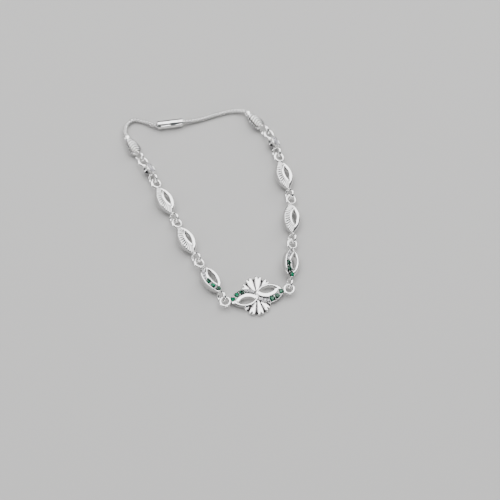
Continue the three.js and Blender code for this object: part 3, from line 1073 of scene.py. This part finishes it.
def finish_link(settings, name, piece, node, place):
    """Solders the rings to a link and finishes it."""
    combine(piece, place.put(both_rings(settings, name, place)), "UNION")
    finish_piece(piece, node, silver_material(settings))


def add_green_link(settings, side, seed):
    """An open oval link with a row of stones on its broad side."""
    name, link, stones = "green_link", settings.link, settings.stones
    body, recess = open_frame(link, link, channel_top(link, stones, 1))
    piece, node, place = lay_link(settings, side, name, body, recess)
    row = seat_row(stones, link, 1, 1)
    cut_seats(piece, stones, row, place.put)
    finish_link(settings, name, piece, node, place)
    add_stone_row(settings, node + "_", row, place.put, seed)


def add_ribbed_link(settings, side, name):
    """An open oval link with ribs across its broad side."""
    link, ribbed = settings.link, settings.ribbed
    body, recess = open_frame(link, ribbed, ribbed_top(link, ribbed))
    finish_link(settings, name, *lay_link(settings, side, name, body, recess))


def bezel_section(ends):
    """Half section of the bezel, from its foot: a ball, a flare to the rim, and the stone's bore.

    The ball is a circle up to its widest place. The flare leaves it as a smooth S.
    """
    ball, depth = ends.bezel_ball, ends.bezel_depth
    turn = np.linspace(0.12, math.pi / 2, 14)
    rise = np.linspace(0.05, 1, 14)
    waist, lip_height = BEZEL_WAIST * depth, BEZEL_LIP * depth
    flare = ball + (ends.bezel_radius - ball) * eased(rise, 0.25, 1.1)
    lip = np.linspace(0.1, math.pi, 7)
    wall = ends.bezel_wall / 2
    bore = ends.bezel_radius - 2 * wall
    return np.vstack(
        [
            [(AXIS, 0)],
            np.stack([ball * np.sin(turn), waist * (1 - np.cos(turn))], 1),
            np.stack([flare, waist + (lip_height - waist) * rise], 1),
            np.stack([bore + wall * (1 + np.cos(lip)), lip_height + 0.8 * wall * np.sin(lip)], 1),
            [(bore, depth - BEZEL_BORE), (0.3 * bore, depth - BEZEL_FLOOR)],
            [(AXIS, depth - BEZEL_FLOOR)],
        ]
    )


def add_bezel(settings, side, seed):
    """A polished ball-shaped cup that flares to its rim, with a round stone let into it.

    The ball has a painted dark reflection under the rim, on its side towards the centrepiece.
    """
    name, ends = "bezel", settings.ends
    body = moved(turned(bezel_section(ends), BEZEL_STEPS), by=(0, 0, -ends.bezel_depth / 2))
    # painted dark reflection on the lower ball, on its side towards the centrepiece
    below = eased(-body[0][:, 2] / ends.bezel_depth, -0.35, -0.15)
    inwards = eased(-body[0][:, 0] / ends.bezel_ball, -0.35, 0.45)
    piece, node, place = lay_link(settings, side, name, body, 0.75 * below * inwards)
    finish_link(settings, name, piece, node, place)
    girdle = Place(0, 0, 0, 0, ends.bezel_depth / 2 - BEZEL_GIRDLE)
    put = in_turn(girdle.put, place.put)
    add_stone(settings, node + "_stone", settings.stones.bezel_radius, False, put, seed)


def bead_mouth(settings, place):
    """The mouth of the end bead's socket and the way that it faces."""
    ends = settings.ends
    x = ends.bead_length / 2 + ends.collar_length / 2
    along = towards(place.heading)
    return np.array((place.x, place.y, place.lift)) + along * x, along


def bead_body(ends):
    """A domed leaf: rings along it swell and close again, each bent back along its edges.

    Its half width is the sine of the way along it, raised to a power. A rib is half a sine wave
    along the leaf between two sharp grooves, which are deeper on its left, and a low ridge runs
    down the middle. It gives the shell and the painted shade of each point: dark in the grooves,
    and darker on its left.
    """
    along = np.linspace(0, 1, BEAD_RIBS * 24 + 1)[1:-1, None]
    turn = around(BEAD_STEPS)
    swell = np.sin(math.pi * along**BEAD_BIAS) ** BEAD_FULLNESS
    groove = sharp_groove(BEAD_RIBS * along) * eased(along, 0.08, 0.25) * eased(1 - along, 0, 0.06)
    rib = 1 - BEAD_GROOVE * groove * (1 + 0.35 * np.cos(turn))
    y = ends.bead_width / 2 * swell * np.cos(turn) * rib
    ridge = 1 + 0.06 * np.exp(-((y / (0.28 * MM)) ** 2)) * (np.sin(turn) > 0)
    z = 0.94 * ends.bead_depth / 2 * swell * np.sin(turn) * rib * ridge
    x = ends.bead_length * (along - 0.5) + ends.bead_shoulder * along**2
    x = x - BEAD_SWEEP * np.hypot(y, BEAD_BEND) * swell
    # painted shade in the grooves, darker on the left side of the bead
    recess = groove**0.5 * (0.65 + 0.35 * np.cos(turn))
    poles = np.zeros(2)
    return shell(np.stack([x, y, z], -1)), np.concatenate([recess.ravel(), poles])


def collar_section(ends):
    """Half section of the chain's collar: a rounded foot, a plain waist and a rolled lip."""
    half, r, bore = ends.collar_length / 2, ends.collar_radius, ends.socket_radius
    lip = 0.12 * MM
    return [
        (r * 0.8, -2.2 * half),
        (r, -1.6 * half),
        (r * 0.93, -0.9 * half),
        (r * 0.93, half - 3 * lip),
        (r, half - 2 * lip),
        (r, half - 0.5 * lip),
        (r - lip, half),
        (bore, half),
        (bore, half - SOCKET_DEPTH),
    ]


def add_end_bead(settings, side):
    """A ribbed bead with a ring at one end and the chain's collar at the other."""
    name, ends = "end_bead", settings.ends
    piece, node, place = lay_link(settings, side, name, *bead_body(ends))
    half, bore = ends.collar_length / 2, ends.socket_radius
    socket = [(bore, half - SOCKET_DEPTH), (bore, half + 1 * MM)]
    tip = (ends.bead_length / 2, 0, 0)
    for section, operation in ((collar_section(ends), "UNION"), (socket, "DIFFERENCE")):
        upright = turned(section, COLLAR_STEPS)
        combine(piece, place.put(moved(upright, about("Y", 90), tip)), operation)
    finish_link(settings, name, piece, node, place)


def rosette_body(rosette):
    """The fluted rosette, and the painted shade of each point.

    Its reach grows from the sides to the two fans with the cosine of the angle from +Y. A petal
    is nearly flat over its middle and rolls down into a sharp groove on each side: the drop is
    the share of its half width to a high power. A short crease parts its rim in two lobes.
    """
    angle = around(rosette.petals * PETAL_STEPS)
    across = np.abs(np.mod(angle * rosette.petals / TURN + 0.5, 1) - 0.5) * 2
    along = np.linspace(0, 1, PETAL_STEPS)[1:, None]
    drop = 0.1 * across**2 + 0.9 * eased(across, 0.5, 1.0) ** 1.3
    crease = np.clip(1 - across / 0.3, 0, 1) ** 1.2 * eased(along, 0.82, 1.0)
    back = np.maximum(np.cos(angle), 0)
    fan = np.abs(np.cos(angle - back * rosette.lean)) ** 0.8
    longest = np.where(back > 0, rosette.back, rosette.front)
    reach = rosette.side + (longest - rosette.side) * fan
    outline = reach * (1 - 0.13 * across**4 - 0.04 * np.clip(1 - across / 0.4, 0, 1) ** 1.5)
    dome = rosette.crown + (rosette.edge - rosette.crown) * along**2
    lip = 0.24 * MM * np.sin(np.clip((along - 0.6) / 0.4, 0, 1) * 2.4)
    height = dome + lip - rosette.groove * drop * along**0.5 - rosette.crease * crease
    # painted shade in the grooves between petals and, a quarter as dark, in the creases
    recess = np.maximum(eased(across, 0.58, 0.95) * np.ones_like(height), 0.25 * crease)
    turn = angle + rosette.turn
    plan = np.stack([-np.sin(turn) * outline, np.cos(turn) * outline], -1)
    top = np.concatenate([plan * along[..., None], height[..., None]], -1)
    edge = np.column_stack([plan, 0.6 * height[-1]])[None]
    foot = np.column_stack([plan * 0.97, 0 * reach])[None]
    top[-1, :, :2] *= 0.985
    plain = np.zeros(3 * len(angle))
    recess = np.concatenate([recess.ravel(), plain, (0.5, 0)])
    return shell(np.concatenate([top, edge, foot, foot * (0.02, 0.02, 1)])), recess


def add_centrepiece(settings, seed):
    """Two open leaves across the rosette, a half turn from each other, with their stones."""
    leaf, stones, rings = settings.leaf, settings.stones, settings.rings
    place = Place(0, 0, ARMS["right"]["tip"], 0)
    lift = leaf.base + leaf.depth / 2
    frame_shell, recess = open_frame(leaf, leaf, channel_top(leaf, stones, -1))
    hole = hole_outline(leaf, around(HOLE_STEPS))
    hole_cutter = shell(np.stack([np.insert(hole, 2, z, axis=1) for z in (-2 * lift, 2 * lift)]))
    row = seat_row(stones, leaf, -1, -1)
    body, rosette_painted_shade = rosette_body(settings.rosette)
    piece = mesh_object("centrepiece_silver", place.put(body), rosette_painted_shade)
    out = Place(leaf.middle, 0, 0, 0, lift)
    puts = {
        side: in_turn(out.put, Place(0, 0, half_turn, 0).put, place.put)
        for side, half_turn in (("left", 180), ("right", 0))
    }
    for put in puts.values():
        combine(piece, put(hole_cutter), "DIFFERENCE")
    for put in puts.values():
        combine(piece, put(frame_shell), "UNION", recess)
    for i, (side, put) in enumerate(puts.items()):
        cut_seats(piece, stones, row, put)
        add_stone_row(settings, side + "_leaf_", row, put, seed + 20 * i)
    x = centre_reach(leaf) + ring_reach(rings)
    for end in (-x, x):
        combine(piece, place.put(soldered_ring(rings, end, 0, place)), "UNION")
    finish_piece(piece, "centrepiece", silver_material(settings))


# ---- chain and clasp ------------------------------------------------------------------------


def clasp_pose(settings):
    """Middle of the clasp, halfway between its box's corners, and its direction."""
    middle = np.mean(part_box("clasp"), axis=0)
    middle[2] = settings.ends.clasp_radius
    return middle, towards(CLASP_HEADING)


def between(p, q, start, end, t):
    """The straight blend that is p at t = start and q at t = end."""
    return ((end - t) * p + (t - start) * q) / (end - start)


def centripetal(points, steps):
    """A centripetal Catmull-Rom curve through the points, as many steps between each pair.

    Its knots grow with the square root of the distance, and it is the pyramid of straight blends
    between four neighbouring points.
    """
    points = np.vstack([2 * points[0] - points[1], points, 2 * points[-1] - points[-2]])
    line = []
    for a, b, c, d in zip(points, points[1:], points[2:], points[3:]):
        gaps = np.linalg.norm(np.diff([a, b, c, d], axis=0), axis=1) ** 0.5
        k = np.concatenate([[0], np.cumsum(gaps)])
        t = np.linspace(k[1], k[2], steps, endpoint=False)[:, None]
        ab, bc, cd = (
            between(p, q, k[i], k[i + 1], t) for i, (p, q) in enumerate(((a, b), (b, c), (c, d)))
        )
        early, late = between(ab, bc, k[0], k[2], t), between(bc, cd, k[1], k[3], t)
        line.append(between(early, late, k[1], k[2], t))
    return np.vstack([*line, points[-2:-1]])


def chain_line(settings, side):
    """The middle line of one stretch of chain, from inside the bead to inside the clasp."""
    ends = settings.ends
    place = arm_places(settings, side)["end_bead"]
    place.rest(bead_body(ends)[0][0])
    mouth, out = bead_mouth(settings, place)
    middle, along = clasp_pose(settings)
    if side == "right":
        along = -along
    clasp_mouth = middle + along * ends.clasp_length / 2
    height = ends.chain_radius + CHAIN_LIFT
    route = [np.array((x * MM, y * MM, height)) for x, y in CHAIN_ROUTES[side]]
    points = [mouth - out * CHAIN_INSET, mouth + out * CHAIN_LEAD, *route]
    points += [clasp_mouth + along * CHAIN_LEAD, clasp_mouth - along * CHAIN_INSET]
    return centripetal(np.array(points), 40)


def steps_along(line, spacing):
    """Evenly spaced places on a line, and the line's direction, its left and its up at each."""
    travelled = np.concatenate([[0], np.cumsum(np.linalg.norm(np.diff(line, axis=0), axis=1))])
    places = int(round(travelled[-1] / spacing))
    at = (np.arange(places) + 0.5) * travelled[-1] / places

    def on_line(distance):
        return np.stack([np.interp(distance, travelled, line[:, i]) for i in range(3)], 1)

    tangent = unit(on_line(at + 0.1 * MM) - on_line(at - 0.1 * MM))
    left = unit(np.cross((0, 0, 1), tangent))
    return on_line(at), tangent, left, np.cross(tangent, left)


def chain_loop(ends):
    """The wire's middle line in one loop, as (along, across, up) the chain.

    It is an ellipse whose two ends are folded forwards by the cosine squared.
    """
    turn = around(PLAIT_STEPS)
    wide = ends.chain_radius - ends.chain_wire
    along = 0.4 * ends.chain_pitch * (0.5 - np.cos(turn) ** 2)
    return np.stack([along, wide * np.cos(turn), 0.6 * wide * np.sin(turn)], 1)


def add_chain(settings, side):
    """Plaited chain: oval loops folded into a V, each a quarter turn from the one before."""
    ends = settings.ends
    centre, tangent, left, up = steps_along(chain_line(settings, side), ends.chain_pitch / 2)
    odd = (np.arange(len(centre)) % 2 == 1)[:, None]
    axes = np.stack([tangent, np.where(odd, left, up), np.where(odd, up, -left)], 1)
    loops = centre[:, None] + chain_loop(ends) @ axes
    shells = [wire_loop(loop, ends.chain_wire, PLAIT_SIDES) for loop in loops]
    plait = joined(shells)
    each = len(shells[0][0])
    from_middle = plait[0] - np.repeat(centre, each, 0)
    along = np.einsum("ij,ij->i", from_middle, np.repeat(tangent, each, 0))
    out = np.sqrt((from_middle**2).sum(1) - along**2) / ends.chain_radius
    node = side + "_chain"
    # painted shade: the wire is painted darker towards the chain's middle line, where the loops
    # cross
    piece = mesh_object(node + "_plait", plait, 0.8 - 0.8 * eased(out, 0.5, 0.85))
    finish_piece(piece, node, silver_material(settings), sharp=80)


def add_clasp(settings):
    """A smooth barrel with a band at each end and a seam round its middle."""
    ends = settings.ends
    half, r, bore = ends.clasp_length / 2, ends.clasp_radius, ends.socket_radius
    floor = half - CLASP_SOCKET_DEPTH
    one_end = [
        (r * 0.96, 0.08 * MM),
        (r, 0.2 * MM),
        (r, half - 1.5 * MM),
        (r * CLASP_NECK, half - 1.4 * MM),
        (r * CLASP_NECK, half - 1.2 * MM),
        (r, half - 1.1 * MM),
        (r, half - 0.25 * MM),
        (r * 0.9, half),
        (bore, half),
        (bore, floor),
        (0.05 * MM, floor),
    ]
    section = [(radius, -x) for radius, x in reversed(one_end)] + one_end
    middle, _ = clasp_pose(settings)
    matrix = about("Z", CLASP_HEADING) @ about("Y", 90)
    piece = mesh_object("clasp_barrel", moved(turned(section, CLASP_STEPS), matrix, middle))
    finish_piece(piece, "clasp", silver_material(settings))


# ---- operators ------------------------------------------------------------------------------


def settings_of(context):
    """The bracelet's settings on this scene."""
    return context.scene.bracelet


class BRACELET_OT_stage(bpy.types.Operator):
    """Adds the camera, the pale floor and the soft studio light"""

    bl_idname = "bracelet.stage"
    bl_label = "Stage"

    def execute(self, context):
        settings = settings_of(context)
        add_camera(context, settings.stage)
        add_floor(settings)
        add_lights(context)
        return {"FINISHED"}


def look_at(obj, place, target):
    """Puts a camera or light at a place with its own -Z towards a target."""
    obj.location = place
    obj.rotation_euler = (Vector(target) - Vector(place)).to_track_quat("-Z", "Y").to_euler()


def add_camera(context, stage):
    """A long lens over the near edge of the table, looking along +Y and down."""
    data = bpy.data.cameras.new("camera")
    camera = bpy.data.objects.new("camera", data)
    context.scene.collection.objects.link(camera)
    target = np.array((stage.target_x, stage.target_y, 0))
    back = np.array((0, -math.cos(stage.elevation), math.sin(stage.elevation)))
    look_at(camera, target + back * stage.distance, target)
    data.lens = data.sensor_width * stage.distance / stage.view_width
    data.clip_start = 0.01
    context.scene.camera = camera


def add_floor(settings):
    """A wide flat table top at z = 0."""
    half = 2.0
    points = np.array([(-half, -half, 0), (half, -half, 0), (half, half, 0), (-half, half, 0)])
    floor = mesh_object("floor", (points, [[0, 1, 2, 3]]))
    floor.data.materials.append(floor_material(settings))


# Soft boxes: where each stands, in metres from the bracelet's middle, its sides and its power.
SOFT_BOXES = {
    "top_box": {"at": (0.0, 0.35, 0.85), "sides": (1.7, 1.0), "watts": 22},
    "back_box": {"at": (0.75, 0.95, 0.55), "sides": (0.8, 0.5), "watts": 5},
    "left_strip": {"at": (-0.85, -0.3, 0.3), "sides": (0.12, 0.7), "watts": 3},
    "front_strip": {"at": (0.3, -0.8, 0.35), "sides": (0.5, 0.12), "watts": 2},
}


def add_lights(context):
    """Soft boxes behind and beside the bracelet and a dim grey room."""
    for name, box in SOFT_BOXES.items():
        data = bpy.data.lights.new(name, "AREA")
        data.shape = "RECTANGLE"
        data.size, data.size_y = box["sides"]
        data.energy = box["watts"]
        light = bpy.data.objects.new(name, data)
        context.scene.collection.objects.link(light)
        look_at(light, box["at"], (-0.01, 0.025, 0))
    world = bpy.data.worlds.new("studio")
    world.use_nodes = True
    world.node_tree.nodes["Background"].inputs["Color"].default_value = (0.9, 0.92, 0.96, 1)
    world.node_tree.nodes["Background"].inputs["Strength"].default_value = 0.12
    context.scene.world = world


class BRACELET_OT_centrepiece(bpy.types.Operator):
    """Adds the fluted centrepiece with its two leaves and their stones"""

    bl_idname = "bracelet.centrepiece"
    bl_label = "Centrepiece"

    def execute(self, context):
        add_centrepiece(settings_of(context), seed=100)
        return {"FINISHED"}


class BRACELET_OT_green_links(bpy.types.Operator):
    """Adds the two open oval links with a row of stones"""

    bl_idname = "bracelet.green_links"
    bl_label = "Green Links"

    def execute(self, context):
        for i, side in enumerate(ARMS):
            add_green_link(settings_of(context), side, seed=200 + 20 * i)
        return {"FINISHED"}


class BRACELET_OT_ribbed_links(bpy.types.Operator):
    """Adds the four open oval links with ribs"""

    bl_idname = "bracelet.ribbed_links"
    bl_label = "Ribbed Links"

    def execute(self, context):
        for side in ARMS:
            for name in ("inner_ribbed_link", "outer_ribbed_link"):
                add_ribbed_link(settings_of(context), side, name)
        return {"FINISHED"}


class BRACELET_OT_bezels(bpy.types.Operator):
    """Adds the two cups with a round clear stone"""

    bl_idname = "bracelet.bezels"
    bl_label = "Bezels"

    def execute(self, context):
        for i, side in enumerate(ARMS):
            add_bezel(settings_of(context), side, seed=300 + i)
        return {"FINISHED"}


class BRACELET_OT_end_beads(bpy.types.Operator):
    """Adds the two ribbed beads that take the chain"""

    bl_idname = "bracelet.end_beads"
    bl_label = "End Beads"

    def execute(self, context):
        for side in ARMS:
            add_end_bead(settings_of(context), side)
        return {"FINISHED"}


class BRACELET_OT_chain(bpy.types.Operator):
    """Adds both stretches of the plaited chain"""

    bl_idname = "bracelet.chain"
    bl_label = "Chain"

    def execute(self, context):
        for side in ARMS:
            add_chain(settings_of(context), side)
        return {"FINISHED"}


class BRACELET_OT_clasp(bpy.types.Operator):
    """Adds the barrel clasp"""

    bl_idname = "bracelet.clasp"
    bl_label = "Clasp"

    def execute(self, context):
        add_clasp(settings_of(context))
        return {"FINISHED"}


OPERATORS = (
    BRACELET_OT_stage,
    BRACELET_OT_centrepiece,
    BRACELET_OT_green_links,
    BRACELET_OT_ribbed_links,
    BRACELET_OT_bezels,
    BRACELET_OT_end_beads,
    BRACELET_OT_chain,
    BRACELET_OT_clasp,
)


class BRACELET_PT_pieces(bpy.types.Panel):
    """Lists the pieces in the 3D view's sidebar"""

    bl_idname = "BRACELET_PT_pieces"
    bl_label = "Bracelet"
    bl_space_type = "VIEW_3D"
    bl_region_type = "UI"
    bl_category = "Bracelet"

    def draw(self, context):
        for operator in OPERATORS:
            self.layout.operator(operator.bl_idname)


GROUPS = (
    RingSizes,
    LinkSizes,
    LeafSizes,
    RibbedSizes,
    RosetteSizes,
    StoneSizes,
    EndSizes,
    BraceletColours,
    StageSizes,
    BraceletSettings,
)


def register():
    """Registers the settings, the operators and the panel."""
    for cls in (*GROUPS, *OPERATORS, BRACELET_PT_pieces):
        bpy.utils.register_class(cls)
    bpy.types.Scene.bracelet = PointerProperty(type=BraceletSettings)


def unregister():
    """Takes them all out again."""
    del bpy.types.Scene.bracelet
    for cls in reversed((*GROUPS, *OPERATORS, BRACELET_PT_pieces)):
        bpy.utils.unregister_class(cls)


def main():
    """Builds the stage and every piece in order."""
    register()
    bpy.ops.bracelet.stage()
    bpy.ops.bracelet.centrepiece()
    bpy.ops.bracelet.green_links()
    bpy.ops.bracelet.ribbed_links()
    bpy.ops.bracelet.bezels()
    bpy.ops.bracelet.end_beads()
    bpy.ops.bracelet.chain()
    bpy.ops.bracelet.clasp()


if __name__ == "__main__":
    main()
